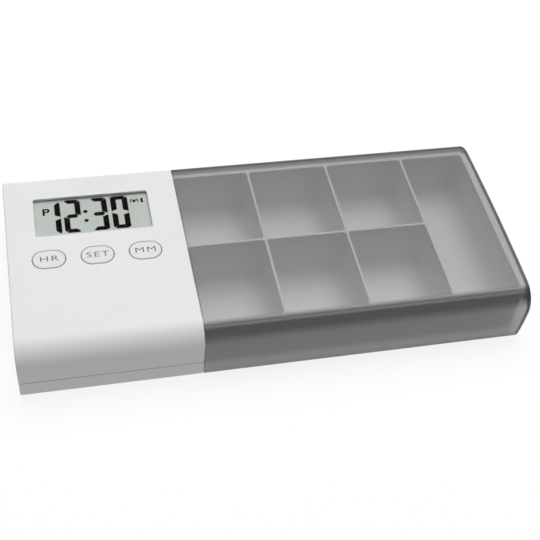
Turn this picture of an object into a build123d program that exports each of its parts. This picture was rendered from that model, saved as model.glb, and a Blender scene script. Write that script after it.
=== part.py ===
from build123d import *
import math
import os

# Electronic pill box: a clock module at one end, a seven-compartment tray fixed to it,
# and a smoked sleeve that slides over the tray.
# Frame: X along the length, clock module at -X. Y to the rear. Z up, base at Z = 0.

# ---------------------------------------------------------------- overall form
LENGTH = 160.0
WIDTH = 74.0
HEIGHT = 22.0
CORNER_R = 7.6
SIDE_R = 90.0
BASE_R = 3.0

LEFT_X = -LENGTH / 2
RIGHT_X = LENGTH / 2
SPLIT_X = LEFT_X + 54.8
SLEEVE_GAP = 0.4
MODULE_LENGTH = SPLIT_X - LEFT_X

# ---------------------------------------------------------------- clock module shells
SHELL_WALL = 1.8
END_EDGE_R = 0.5
SEAM_Z = 8.6
SEAM_GAP = 0.3
LIP_HEIGHT = 1.4
LIP_INSET = 1.0
LIP_CLEARANCE = 0.15
INNER_TOP = HEIGHT - SHELL_WALL

# display window and the lens seated behind it
WINDOW_X = -52.7
WINDOW_Y = 16.15
WINDOW_LENGTH = 36.4
WINDOW_WIDTH = 16.1
WINDOW_CORNER = 0.7
WINDOW_DEPTH = 0.9
OPENING_EDGE_R = 0.15
LENS_THICK = 0.3
LENS_RAISE = 0.6
LENS_FIT = 0.05
LENS_MARGIN = 1.3
LENS_CORNER = 1.5
LENS_CLEARANCE = 0.1

# three buttons, left to right: hour, mode, minute
BUTTON_PITCH = 14.75
BUTTON_Y = -1.5
BUTTON_HOLE_LENGTH = 10.4
BUTTON_HOLE_WIDTH = 7.4
BUTTON_GAP = 0.25
BUTTON_PROUD = 0.15
BUTTON_EDGE_R = 0.35
BUTTON_FLANGE = 0.8
BUTTON_FLANGE_TOP = INNER_TOP - 0.05
BUTTON_FLANGE_THICK = 0.9
BUTTON_STEM_R = 2.2
BUTTON_XS = [WINDOW_X - 0.2 + i * BUTTON_PITCH for i in (-1, 0, 1)]

# ---------------------------------------------------------------- board and display
BOARD_BOTTOM = 14.4
BOARD_THICK = 1.2
BOARD_TOP = BOARD_BOTTOM + BOARD_THICK
BOARD_LEFT = -77.4
BOARD_RIGHT = -29.4
BOARD_FRONT = -10.0
BOARD_REAR = 27.3
BOARD_EAR_WIDTH = 8.0
BOARD_EAR_REAR = 32.3
BOARD_SCREWS = [(-75.0, -7.4), (-31.6, -7.4), (WINDOW_X, 30.0)]
BOARD_SCREW_R = 0.8
BOARD_SCREW_HEAD_R = 1.6
BOARD_SCREW_HEAD = 1.1
BOARD_BOSS_R = 2.0
BOARD_BOSS_HOLE = 3.6

GLASS_LENGTH = 38.6
GLASS_WIDTH = 20.4
GLASS_LOWER_WIDTH = 15.2
GLASS_THICK = 1.2
DISPLAY_CEILING = HEIGHT - WINDOW_DEPTH - LENS_THICK
GLASS_TOP = DISPLAY_CEILING - 0.1
GLASS_MIDDLE = GLASS_TOP - GLASS_THICK
GLASS_BOTTOM = GLASS_MIDDLE - GLASS_THICK
FRAME_WALL = 0.8
FRAME_CLEARANCE = 0.1
FRAME_LENGTH = GLASS_LENGTH + 2 * (FRAME_CLEARANCE + FRAME_WALL)
FRAME_WIDTH = GLASS_WIDTH + 2 * (FRAME_CLEARANCE + FRAME_WALL)
STRIP_LENGTH = 36.0
STRIP_WIDTH = 1.8

DOME_TOP = BUTTON_FLANGE_TOP - BUTTON_FLANGE_THICK - 1.45
DOME_BASE_R = 3.6
DOME_TOP_R = 2.4
DOME_WALL = 0.65
DOME_CEILING = DOME_TOP - 0.8
PILL_R = 1.5
PILL_THICK = 0.5

# ---------------------------------------------------------------- battery compartment
CELL_R = 5.25
CELL_LENGTH = 44.5
CELL_NUB = 1.2
CELL_NUB_R = 1.9
CELL_PITCH = 11.1
CELL_AXIS_Z = 7.1
BAY_X = -51.8
BAY_LENGTH = 22.4
BAY_WIDTH = 49.0
BAY_TOP = 12.6
BAY_WALL = 1.2
PLATE = 0.4
CONTACT_BOTTOM = 4.2
CONTACT_TOP = 10.6
TAIL_WIDTH = 1.5
LEAF_WIDTH = 4.0
LEAF_THICK = 0.35
LEAF_BEND_R = 0.6
LEAF_GAP = 0.02

DOOR_RECESS = 0.2
DOOR_THICK = 1.4
DOOR_PANEL = 0.8
DOOR_GAP = 0.15
DOOR_LEDGE = 1.3
TAB_WIDTH = 2.0
TAB_REACH = 1.6
TAB_BOTTOM = SHELL_WALL + 0.15
TAB_TOP = 2.7
TAB_SLOT_TOP = 4.0
PIVOT_R = 0.7
TAB_SPACING = 20.1
LATCH_WIDTH = 3.6
LATCH_TOP = 3.0
NOTCH_R = 6.0
NOTCH_DEPTH = 0.7

# ---------------------------------------------------------------- alarm
PIEZO_X = -71.2
PIEZO_R = 6.0
PIEZO_THICK = 0.4
PIEZO_SEAT_R = 4.9
PIEZO_RING_R = 6.8
PIEZO_SEAT_Z = 2.8
SOUND_HOLE_R = 0.75
BUZZER_SPRING_R = 1.3
BUZZER_SPRING_BORE = 0.9
BUZZER_SPRING_SPACING = 4.0

# ---------------------------------------------------------------- case screws
CASE_SCREW_XS = (-75.6, -31.2)
CASE_SCREW_Y = 30.5
CASE_BOSS_R = 2.5
CASE_POST_R = 2.8
CASE_SCREW_R = 1.0
CASE_HEAD_R = 1.9
CASE_HEAD = 1.5
CASE_SEAT_Z = 4.5
CASE_CROSS = 2.4
BOARD_CROSS = 1.9
CROSS_SLOT = 0.5
CROSS_DEPTH = 0.7
CASE_SCREW_TOP = 15.0

# ---------------------------------------------------------------- tray
PLATE_LEFT = -27.7
PLATE_RIGHT = -25.9
PLATE_CLEARANCE = 0.1
TRAY_BOTTOM = SHELL_WALL
TRAY_TOP = 19.7
TRAY_FLOOR = 1.2
TRAY_WALL = 1.2
TRAY_END_WALL = 1.0
TRAY_INNER_HALF = 30.2
TRAY_RIGHT = 78.2
TRAY_FLANGE_HALF = 32.7
TRAY_FLANGE_THICK = 1.2
TRAY_FLANGE_DROP = 0.25
TRAY_FLANGE_R = 0.6
DIVIDER_TOP = 0.75
DIVIDER_FIRST_X = 0.5
DIVIDER_PITCH = 27.15
DIVIDERS = 3
CELL_DRAFT = 1.0
CELL_CORNER = 1.0
CELL_FLOOR_R = 0.6

# ---------------------------------------------------------------- sleeve
SLEEVE_LEFT = SPLIT_X + SLEEVE_GAP
SLEEVE_WALL = 1.5
SLEEVE_CROWN = 0.6
SLEEVE_EDGE_R = 1.0
SLEEVE_END_WALL = 1.0
SLEEVE_MOUTH_R = 0.3

MID_X = (LEFT_X + RIGHT_X) / 2
CORNER_Y = WIDTH / 2 - CORNER_R
CORNER_Z = HEIGHT - CORNER_R
SIDE_Y = WIDTH / 2 - SIDE_R
SIDE_TURN = math.degrees(math.asin((CORNER_Z - BASE_R) / (SIDE_R - BASE_R)))
BASE_Y = SIDE_Y + (SIDE_R - BASE_R) * math.cos(math.radians(SIDE_TURN))


def section(x, inset):
    """Cross section of the body at x, set in from the outer face by inset.

    A flat top, a round shoulder, a side that leans in a little and a small base radius.
    """
    top = HEIGHT - inset
    base = inset
    with BuildSketch(Plane.YZ.offset(x)) as outline:
        with BuildLine() as edge:
            Line((0, top), (CORNER_Y, top))
            CenterArc((CORNER_Y, CORNER_Z), CORNER_R - inset, 0, 90)
            CenterArc((SIDE_Y, CORNER_Z), SIDE_R - inset, -SIDE_TURN, SIDE_TURN)
            CenterArc((BASE_Y, BASE_R), BASE_R - inset, -90, 90 - SIDE_TURN)
            Line((BASE_Y, base), (0, base))
            mirror(edge.line, about=Plane.YZ)
        make_face()
    return outline.sketch


def side_blocks(left, right, low, high, clear_half):
    """Two upright blocks beside the tray, from clear_half outwards, as wide as the body."""
    with BuildPart() as blocks:
        with BuildSketch(Plane.XY.offset(low)):
            for sign in (-1, 1):
                with Locations(((left + right) / 2, sign * (clear_half + WIDTH) / 2)):
                    Rectangle(right - left, WIDTH - clear_half)
        extrude(amount=high - low)
    return blocks.part


def body_core(left, right, inset):
    """The solid inside the body's walls, between two planes."""
    with BuildPart() as core:
        extrude(section(left, inset), amount=right - left)
    return core.part


os.makedirs("parts", exist_ok=True)

# ================================================================ upper housing
RIB_CLEAR = TRAY_INNER_HALF + TRAY_WALL + 0.4
RIB_LEFT = PLATE_LEFT - 1.2
lip_cut_top = SEAM_Z + SEAM_GAP / 2 + LIP_HEIGHT + LIP_CLEARANCE
upper_bottom = SEAM_Z + SEAM_GAP / 2
upper_ribs = []
for rib_left, rib_right in ((RIB_LEFT, PLATE_LEFT), (PLATE_RIGHT, SPLIT_X)):
    rib = side_blocks(rib_left, rib_right, lip_cut_top, HEIGHT, RIB_CLEAR)
    upper_ribs.append(rib & body_core(rib_left, rib_right, SHELL_WALL - 0.3))

with BuildPart() as upper_housing:
    extrude(section(LEFT_X, 0), amount=MODULE_LENGTH)
    fillet(upper_housing.faces().sort_by(Axis.X)[0].edges(), radius=END_EDGE_R)
    extrude(
        section(LEFT_X + SHELL_WALL, SHELL_WALL), amount=MODULE_LENGTH, mode=Mode.SUBTRACT
    )
    split(bisect_by=Plane.XY.offset(upper_bottom), keep=Keep.TOP)
    # rebate for the lower cover's lip
    with BuildSketch(Plane.XY.offset(upper_bottom)):
        with Locations((LEFT_X + LIP_INSET + LENGTH / 2, 0)):
            Rectangle(LENGTH, WIDTH - 2 * LIP_INSET - 0.2)
    extrude(amount=lip_cut_top - upper_bottom, mode=Mode.SUBTRACT)
    # bosses for the case screws
    with BuildSketch(Plane.XY.offset(SEAM_Z)):
        for boss_x in CASE_SCREW_XS:
            with Locations((boss_x, CASE_SCREW_Y), (boss_x, -CASE_SCREW_Y)):
                Circle(CASE_BOSS_R)
    extrude(amount=INNER_TOP + 0.2 - SEAM_Z)
    # bosses for the board screws
    with BuildSketch(Plane.XY.offset(BOARD_TOP)):
        with Locations(*BOARD_SCREWS):
            Circle(BOARD_BOSS_R)
    extrude(amount=INNER_TOP + 0.2 - BOARD_TOP)
    # upright ribs that trap the tray's end plate
    add(upper_ribs)
    # nothing stands outside the shell
    extrude(section(LEFT_X, 0), amount=MODULE_LENGTH, mode=Mode.INTERSECT)
    # pilot holes
    with BuildSketch(Plane.XY.offset(SEAM_Z)):
        for boss_x in CASE_SCREW_XS:
            with Locations((boss_x, CASE_SCREW_Y), (boss_x, -CASE_SCREW_Y)):
                Circle(CASE_SCREW_R + 0.05)
    extrude(amount=CASE_SCREW_TOP + 0.5 - SEAM_Z, mode=Mode.SUBTRACT)
    with BuildSketch(Plane.XY.offset(BOARD_TOP)):
        with Locations(*BOARD_SCREWS):
            Circle(BOARD_SCREW_R + 0.05)
    extrude(amount=BOARD_BOSS_HOLE, mode=Mode.SUBTRACT)
    # display window, the pocket behind it for the lens, and the wider one for the frame
    with BuildSketch(Plane.XY.offset(INNER_TOP)):
        with Locations((WINDOW_X, WINDOW_Y)):
            RectangleRounded(WINDOW_LENGTH, WINDOW_WIDTH, WINDOW_CORNER)
    extrude(amount=SHELL_WALL, mode=Mode.SUBTRACT)
    with BuildSketch(Plane.XY.offset(INNER_TOP)):
        with Locations((WINDOW_X, WINDOW_Y)):
            RectangleRounded(
                WINDOW_LENGTH + 2 * (LENS_MARGIN + LENS_CLEARANCE),
                WINDOW_WIDTH + 2 * (LENS_MARGIN + LENS_CLEARANCE),
                LENS_CORNER,
            )
    extrude(amount=SHELL_WALL - WINDOW_DEPTH, mode=Mode.SUBTRACT)
    with BuildSketch(Plane.XY.offset(BOARD_TOP)):
        with Locations((WINDOW_X, WINDOW_Y)):
            Rectangle(FRAME_LENGTH + 2 * FRAME_CLEARANCE, FRAME_WIDTH + 2 * FRAME_CLEARANCE)
    extrude(amount=DISPLAY_CEILING - BOARD_TOP, mode=Mode.SUBTRACT)
    # button holes
    with BuildSketch(Plane.XY.offset(INNER_TOP)):
        for button_x in BUTTON_XS:
            with Locations((button_x, BUTTON_Y)):
                SlotOverall(BUTTON_HOLE_LENGTH, BUTTON_HOLE_WIDTH)
    extrude(amount=SHELL_WALL, mode=Mode.SUBTRACT)
    # softened edges round the window and the button holes
    top_face = upper_housing.faces().sort_by(Axis.Z)[-1]
    opening_edges = [edge for wire in top_face.inner_wires() for edge in wire.edges()]
    fillet(opening_edges, radius=OPENING_EDGE_R)
upper_housing.part.label = "upper_housing"
export_step(upper_housing.part, "parts/upper_housing.step")

# ================================================================ lower cover
lower_top = SEAM_Z - SEAM_GAP / 2
bay_left = BAY_X - BAY_LENGTH / 2
bay_right = BAY_X + BAY_LENGTH / 2
bay_rear = BAY_WIDTH / 2
bay_front = -BAY_WIDTH / 2
door_rear = bay_rear - DOOR_GAP
door_front = bay_front - DOOR_LEDGE + DOOR_GAP
ledge_rear = door_rear - PIVOT_R
step_front = bay_front - DOOR_LEDGE
lower_ribs = []
for rib_left, rib_right in ((RIB_LEFT, PLATE_LEFT), (PLATE_RIGHT, SPLIT_X)):
    rib = side_blocks(rib_left, rib_right, 0, lower_top, RIB_CLEAR)
    lower_ribs.append(rib & body_core(rib_left, rib_right, SHELL_WALL - 0.3))

with BuildPart() as lower_cover:
    extrude(section(LEFT_X, 0), amount=MODULE_LENGTH)
    fillet(lower_cover.faces().sort_by(Axis.X)[0].edges(), radius=END_EDGE_R)
    # lip above the seam: the wall's inner half
    with BuildSketch(Plane.XY.offset(lower_top)) as above_seam:
        with Locations((MID_X, 0)):
            Rectangle(2 * LENGTH, 2 * WIDTH)
        with Locations((LEFT_X + LIP_INSET + LIP_CLEARANCE + LENGTH / 2, 0)):
            Rectangle(
                LENGTH, WIDTH - 2 * (LIP_INSET + LIP_CLEARANCE) - 0.2, mode=Mode.SUBTRACT
            )
    extrude(amount=HEIGHT, mode=Mode.SUBTRACT)
    split(bisect_by=Plane.XY.offset(upper_bottom + LIP_HEIGHT), keep=Keep.BOTTOM)
    extrude(
        section(LEFT_X + SHELL_WALL, SHELL_WALL), amount=MODULE_LENGTH, mode=Mode.SUBTRACT
    )
    # battery bay
    with BuildSketch(Plane.XY.offset(SHELL_WALL - 0.2)):
        with Locations((BAY_X, 0)):
            Rectangle(BAY_LENGTH + 2 * BAY_WALL, BAY_WIDTH + 2 * BAY_WALL)
    extrude(amount=BAY_TOP + BAY_WALL - SHELL_WALL + 0.2)
    # screw posts
    with BuildSketch(Plane.XY.offset(SHELL_WALL - 0.2)):
        for boss_x in CASE_SCREW_XS:
            with Locations((boss_x, CASE_SCREW_Y), (boss_x, -CASE_SCREW_Y)):
                Circle(CASE_POST_R)
    extrude(amount=SEAM_Z - SHELL_WALL + 0.2)
    # ring that seats the alarm disc
    with BuildSketch(Plane.XY.offset(SHELL_WALL - 0.2)):
        with Locations((PIEZO_X, 0)):
            Circle(PIEZO_RING_R)
            Circle(PIEZO_SEAT_R, mode=Mode.SUBTRACT)
    extrude(amount=PIEZO_SEAT_Z + PIEZO_THICK - SHELL_WALL + 0.2)
    with BuildSketch(Plane.XY.offset(PIEZO_SEAT_Z)):
        with Locations((PIEZO_X, 0)):
            Circle(PIEZO_R + 0.1)
    extrude(amount=2 * PIEZO_THICK, mode=Mode.SUBTRACT)
    add(lower_ribs)
    # bay hollow, open below
    with BuildSketch(Plane.XY):
        with Locations((BAY_X, 0)):
            Rectangle(BAY_LENGTH, BAY_WIDTH)
    extrude(amount=BAY_TOP, mode=Mode.SUBTRACT)
    # step in the floor that the door's edge closes on, at the front and the sides
    with BuildSketch(Plane.XY):
        with Locations((BAY_X, (bay_rear + step_front) / 2)):
            Rectangle(BAY_LENGTH + 2 * DOOR_LEDGE, bay_rear - step_front)
    extrude(amount=DOOR_RECESS + DOOR_PANEL + 0.05, mode=Mode.SUBTRACT)
    # slots in the bay's rear wall for the door's tabs
    with BuildSketch(Plane.XY.offset(SHELL_WALL)):
        with Locations((BAY_X, bay_rear + BAY_WALL / 2)):
            with GridLocations(TAB_SPACING, 1, 2, 1):
                Rectangle(TAB_WIDTH + 0.6, BAY_WALL + 1.0)
    extrude(amount=TAB_SLOT_TOP - SHELL_WALL, mode=Mode.SUBTRACT)
    # slots in the bay's roof for the contacts' tails
    with BuildSketch(Plane.XY.offset(BAY_TOP)):
        with Locations((BAY_X, bay_rear - PLATE / 2)):
            with GridLocations(CELL_PITCH, 1, 2, 1):
                Rectangle(TAIL_WIDTH + 0.6, PLATE + 0.4)
    extrude(amount=BAY_WALL, mode=Mode.SUBTRACT)
    # finger notch in front of the door
    with BuildSketch(Plane.XY):
        with Locations((BAY_X, bay_front - DOOR_LEDGE)):
            Circle(NOTCH_R)
    extrude(amount=NOTCH_DEPTH, mode=Mode.SUBTRACT)
    # screw holes, sunk from below
    with BuildSketch(Plane.XY):
        for boss_x in CASE_SCREW_XS:
            with Locations((boss_x, CASE_SCREW_Y), (boss_x, -CASE_SCREW_Y)):
                Circle(CASE_HEAD_R + 0.3)
    extrude(amount=CASE_SEAT_Z, mode=Mode.SUBTRACT)
    with BuildSketch(Plane.XY):
        for boss_x in CASE_SCREW_XS:
            with Locations((boss_x, CASE_SCREW_Y), (boss_x, -CASE_SCREW_Y)):
                Circle(CASE_SCREW_R + 0.2)
    extrude(amount=SEAM_Z, mode=Mode.SUBTRACT)
    # sound holes under the alarm disc
    with BuildSketch(Plane.XY):
        with Locations((PIEZO_X, 0)):
            with PolarLocations(2.4, 3):
                Circle(SOUND_HOLE_R)
    extrude(amount=PIEZO_SEAT_Z, mode=Mode.SUBTRACT)
lower_cover.part.label = "lower_cover"
export_step(lower_cover.part, "parts/lower_cover.step")

# ================================================================ battery door
with BuildPart() as battery_door:
    with BuildSketch(Plane.XY.offset(DOOR_RECESS)):
        with Locations((BAY_X, (ledge_rear + door_front) / 2)):
            Rectangle(BAY_LENGTH + 2 * DOOR_LEDGE - 2 * DOOR_GAP, ledge_rear - door_front)
    extrude(amount=DOOR_PANEL)
    with BuildSketch(Plane.XY.offset(DOOR_RECESS)):
        with Locations((BAY_X, 0)):
            Rectangle(BAY_LENGTH - 2 * DOOR_GAP, BAY_WIDTH - 2 * DOOR_GAP)
    extrude(amount=DOOR_THICK)
    # rounded lower rear edge, on which the door turns
    rear_edges = battery_door.edges().filter_by(Axis.X).filter_by(
        lambda edge: edge.center().Z < DOOR_RECESS + 0.01 and edge.center().Y > door_rear - 0.01
    )
    fillet(rear_edges, radius=PIVOT_R)
    # necks and tabs that hook over the floor at the rear
    with BuildSketch(Plane.XY.offset(DOOR_RECESS + DOOR_THICK)):
        with Locations((BAY_X, door_rear - 0.6)):
            with GridLocations(TAB_SPACING, 1, 2, 1):
                Rectangle(TAB_WIDTH, 1.2)
    extrude(amount=TAB_TOP - DOOR_RECESS - DOOR_THICK)
    with BuildSketch(Plane.XY.offset(TAB_BOTTOM)):
        with Locations((BAY_X, door_rear + TAB_REACH / 2 - 0.3)):
            with GridLocations(TAB_SPACING, 1, 2, 1):
                Rectangle(TAB_WIDTH, TAB_REACH + 0.6)
    extrude(amount=TAB_TOP - TAB_BOTTOM)
    # latch tongue between the cells
    with BuildSketch(Plane.XY.offset(DOOR_RECESS + DOOR_THICK)):
        with Locations((BAY_X, bay_front + DOOR_GAP + 0.5)):
            Rectangle(LATCH_WIDTH, 1.0)
    extrude(amount=LATCH_TOP - DOOR_RECESS - DOOR_THICK)
    # grip ridges on the outside, by the notch
    with BuildSketch(Plane.XY.offset(DOOR_RECESS)):
        with Locations((BAY_X, bay_front + 4.0)):
            with GridLocations(1, 1.6, 1, 4):
                SlotOverall(9.0, 0.7)
    extrude(amount=0.3, mode=Mode.SUBTRACT)
battery_door.part.label = "battery_door"
export_step(battery_door.part, "parts/battery_door.step")

# ================================================================ display lens
with BuildPart() as display_lens:
    with BuildSketch(Plane.XY.offset(DISPLAY_CEILING)):
        with Locations((WINDOW_X, WINDOW_Y)):
            RectangleRounded(
                WINDOW_LENGTH + 2 * LENS_MARGIN, WINDOW_WIDTH + 2 * LENS_MARGIN, LENS_CORNER
            )
    extrude(amount=LENS_THICK)
    # raised middle that stands in the window
    with BuildSketch(Plane.XY.offset(DISPLAY_CEILING + LENS_THICK)):
        with Locations((WINDOW_X, WINDOW_Y)):
            RectangleRounded(
                WINDOW_LENGTH - 2 * LENS_FIT, WINDOW_WIDTH - 2 * LENS_FIT, WINDOW_CORNER
            )
    extrude(amount=LENS_RAISE)
display_lens.part.label = "display_lens"
export_step(display_lens.part, "parts/display_lens.step")

# ================================================================ display panel
with BuildPart() as lcd_panel:
    with BuildSketch(Plane.XY.offset(GLASS_MIDDLE)):
        with Locations((WINDOW_X, WINDOW_Y)):
            Rectangle(GLASS_LENGTH, GLASS_WIDTH)
    extrude(amount=GLASS_THICK)
    with BuildSketch(Plane.XY.offset(GLASS_BOTTOM)):
        with Locations((WINDOW_X, WINDOW_Y)):
            Rectangle(GLASS_LENGTH, GLASS_LOWER_WIDTH)
    extrude(amount=GLASS_THICK)
lcd_panel.part.label = "lcd_panel"
export_step(lcd_panel.part, "parts/lcd_panel.step")

with BuildPart() as lcd_frame:
    with BuildSketch(Plane.XY.offset(BOARD_TOP)):
        with Locations((WINDOW_X, WINDOW_Y)):
            Rectangle(FRAME_LENGTH, FRAME_WIDTH)
            Rectangle(
                GLASS_LENGTH + 2 * FRAME_CLEARANCE,
                GLASS_WIDTH + 2 * FRAME_CLEARANCE,
                mode=Mode.SUBTRACT,
            )
    extrude(amount=DISPLAY_CEILING - BOARD_TOP)
lcd_frame.part.label = "lcd_frame"
export_step(lcd_frame.part, "parts/lcd_frame.step")

strip_spacing = (GLASS_WIDTH + GLASS_LOWER_WIDTH) / 2
with BuildPart() as connector_strips:
    with BuildSketch(Plane.XY.offset(BOARD_TOP)):
        with Locations((WINDOW_X, WINDOW_Y)):
            with GridLocations(1, strip_spacing, 1, 2):
                Rectangle(STRIP_LENGTH, STRIP_WIDTH)
    extrude(amount=GLASS_MIDDLE - BOARD_TOP)
connector_strips.part.label = "connector_strips"
export_step(connector_strips.part, "parts/connector_strips.step")

# ================================================================ circuit board
board_x = (BOARD_LEFT + BOARD_RIGHT) / 2
board_y = (BOARD_FRONT + BOARD_REAR) / 2
with BuildPart() as circuit_board:
    with BuildSketch(Plane.XY.offset(BOARD_BOTTOM)):
        with Locations((board_x, board_y)):
            Rectangle(BOARD_RIGHT - BOARD_LEFT, BOARD_REAR - BOARD_FRONT)
        with Locations((WINDOW_X, (BOARD_REAR + BOARD_EAR_REAR) / 2)):
            Rectangle(BOARD_EAR_WIDTH, BOARD_EAR_REAR - BOARD_REAR)
        with Locations(*BOARD_SCREWS):
            Circle(BOARD_SCREW_R + 0.15, mode=Mode.SUBTRACT)
    extrude(amount=BOARD_THICK)
circuit_board.part.label = "circuit_board"
export_step(circuit_board.part, "parts/circuit_board.step")

# moulded blob over the clock chip, between the board and the display
with BuildPart() as clock_chip:
    with BuildSketch(Plane.XY.offset(BOARD_TOP)):
        with Locations((WINDOW_X, WINDOW_Y)):
            Circle(4.5)
    extrude(amount=1.3)
    fillet(clock_chip.faces().sort_by(Axis.Z)[-1].edges(), radius=1.0)
clock_chip.part.label = "clock_chip"
export_step(clock_chip.part, "parts/clock_chip.step")

CRYSTAL_R = 0.95
with BuildPart() as crystal:
    with BuildSketch(Plane.YZ.offset(WINDOW_X - 12.0)):
        with Locations((WINDOW_Y - 3.0, BOARD_TOP + CRYSTAL_R)):
            Circle(CRYSTAL_R)
    extrude(amount=6.0)
crystal.part.label = "crystal"
export_step(crystal.part, "parts/crystal.step")

with BuildPart() as capacitors:
    with BuildSketch(Plane.XY.offset(BOARD_TOP)):
        with Locations((WINDOW_X + 9.0, WINDOW_Y)):
            with GridLocations(1, 4.0, 1, 3):
                Rectangle(2.0, 1.25)
    extrude(amount=0.8)
capacitors.part.label = "capacitors"
export_step(capacitors.part, "parts/capacitors.step")

# ================================================================ buttons
button_names = ("hour", "mode", "minute")
flange_bottom = BUTTON_FLANGE_TOP - BUTTON_FLANGE_THICK
for button_x, button_name in zip(BUTTON_XS, button_names):
    with BuildPart() as button:
        with BuildSketch(Plane.XY.offset(flange_bottom)):
            with Locations((button_x, BUTTON_Y)):
                SlotOverall(
                    BUTTON_HOLE_LENGTH - 2 * BUTTON_GAP, BUTTON_HOLE_WIDTH - 2 * BUTTON_GAP
                )
        extrude(amount=HEIGHT + BUTTON_PROUD - flange_bottom)
        fillet(button.faces().sort_by(Axis.Z)[-1].edges(), radius=BUTTON_EDGE_R)
        with BuildSketch(Plane.XY.offset(flange_bottom)):
            with Locations((button_x, BUTTON_Y)):
                SlotOverall(
                    BUTTON_HOLE_LENGTH + 2 * BUTTON_FLANGE, BUTTON_HOLE_WIDTH + 2 * BUTTON_FLANGE
                )
        extrude(amount=BUTTON_FLANGE_THICK)
        with BuildSketch(Plane.XY.offset(DOME_TOP)):
            with Locations((button_x, BUTTON_Y)):
                Circle(BUTTON_STEM_R)
        extrude(amount=flange_bottom - DOME_TOP)
    button.part.label = button_name + "_button"
    export_step(button.part, "parts/" + button_name + "_button.step")

    # rubber dome on the board: a ring, a thin cone and a thick top
    with BuildPart() as dome:
        with BuildSketch(Plane.XZ.offset(-BUTTON_Y)):
            with BuildLine():
                Polyline(
                    (button_x + DOME_BASE_R - DOME_WALL, BOARD_TOP),
                    (button_x + DOME_BASE_R, BOARD_TOP),
                    (button_x + DOME_BASE_R, BOARD_TOP + 0.4),
                    (button_x + DOME_TOP_R, DOME_CEILING + 0.2),
                    (button_x + DOME_TOP_R, DOME_TOP),
                    (button_x, DOME_TOP),
                    (button_x, DOME_CEILING),
                    (button_x + DOME_TOP_R - DOME_WALL, DOME_CEILING),
                    close=True,
                )
            make_face()
        revolve(axis=Axis((button_x, BUTTON_Y, 0), (0, 0, 1)))
    dome.part.label = button_name + "_dome"
    export_step(dome.part, "parts/" + button_name + "_dome.step")

    # carbon pill under the dome's top
    with BuildPart() as pill:
        with BuildSketch(Plane.XY.offset(DOME_CEILING - PILL_THICK)):
            with Locations((button_x, BUTTON_Y)):
                Circle(PILL_R)
        extrude(amount=PILL_THICK)
    pill.part.label = button_name + "_contact"
    export_step(pill.part, "parts/" + button_name + "_contact.step")

# ================================================================ alarm
with BuildPart() as piezo_disc:
    with BuildSketch(Plane.XY.offset(PIEZO_SEAT_Z)):
        with Locations((PIEZO_X, 0)):
            Circle(PIEZO_R)
    extrude(amount=PIEZO_THICK / 2)
    with BuildSketch(Plane.XY.offset(PIEZO_SEAT_Z)):
        with Locations((PIEZO_X, 0)):
            Circle(0.7 * PIEZO_R)
    extrude(amount=PIEZO_THICK)
piezo_disc.part.label = "piezo_disc"
export_step(piezo_disc.part, "parts/piezo_disc.step")

# the two springs that feed the disc, drawn as plain tubes of the coils' size
with BuildPart() as buzzer_springs:
    with BuildSketch(Plane.XY.offset(PIEZO_SEAT_Z + PIEZO_THICK)):
        with Locations((PIEZO_X, 0)):
            with GridLocations(1, BUZZER_SPRING_SPACING, 1, 2):
                Circle(BUZZER_SPRING_R)
                Circle(BUZZER_SPRING_BORE, mode=Mode.SUBTRACT)
    extrude(amount=BOARD_BOTTOM - PIEZO_SEAT_Z - PIEZO_THICK)
buzzer_springs.part.label = "buzzer_springs"
export_step(buzzer_springs.part, "parts/buzzer_springs.step")

# ================================================================ battery cells
left_cell_x = BAY_X - CELL_PITCH / 2
right_cell_x = BAY_X + CELL_PITCH / 2
contact_rear = bay_rear - PLATE
contact_front = bay_front + PLATE
cell_specs = (
    ("battery_cell_left", left_cell_x, contact_rear, -1),
    ("battery_cell_right", right_cell_x, contact_front, 1),
)
for cell_name, cell_x, nub_y, away in cell_specs:
    with BuildPart() as cell:
        with BuildSketch(Plane.XZ.offset(-(nub_y + away * CELL_NUB))):
            with Locations((cell_x, CELL_AXIS_Z)):
                Circle(CELL_R)
        extrude(amount=-away * (CELL_LENGTH - CELL_NUB))
        fillet(cell.edges().filter_by(GeomType.CIRCLE), radius=0.5)
        with BuildSketch(Plane.XZ.offset(-nub_y)):
            with Locations((cell_x, CELL_AXIS_Z)):
                Circle(CELL_NUB_R)
        extrude(amount=-away * (CELL_NUB + 0.3))
    cell.part.label = cell_name
    export_step(cell.part, "parts/" + cell_name + ".step")

# ================================================================ battery contacts
def leaf(x, plate_y, away, cell_end):
    """Bent leaf that rises from a contact plate and presses on a cell's flat end."""
    tip_y = cell_end - away * (LEAF_THICK / 2 + LEAF_GAP)
    with BuildPart() as strip:
        with BuildSketch(Plane.YZ.offset(x - LEAF_WIDTH / 2)):
            with BuildLine():
                FilletPolyline(
                    (plate_y, CONTACT_BOTTOM + 0.4),
                    (tip_y, CELL_AXIS_Z - 1.0),
                    (tip_y, CELL_AXIS_Z + 1.0),
                    (plate_y + away * 1.4, CELL_AXIS_Z + 3.0),
                    radius=LEAF_BEND_R,
                )
            trace(line_width=LEAF_THICK)
        extrude(amount=LEAF_WIDTH)
    return strip.part


front_plate_y = bay_front + PLATE / 2
rear_plate_y = bay_rear - PLATE / 2
front_leaf = leaf(left_cell_x, front_plate_y, 1, contact_rear - CELL_LENGTH)
rear_leaf = leaf(right_cell_x, rear_plate_y, -1, contact_front + CELL_LENGTH)

contact_height = CONTACT_TOP - CONTACT_BOTTOM
with BuildPart() as bridge_contact:
    with BuildSketch(Plane.XY.offset(CONTACT_BOTTOM)):
        with Locations((BAY_X, front_plate_y)):
            Rectangle(BAY_LENGTH - 1.0, PLATE)
    extrude(amount=contact_height)
    add(front_leaf)
bridge_contact.part.label = "bridge_contact"
export_step(bridge_contact.part, "parts/bridge_contact.step")

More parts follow.
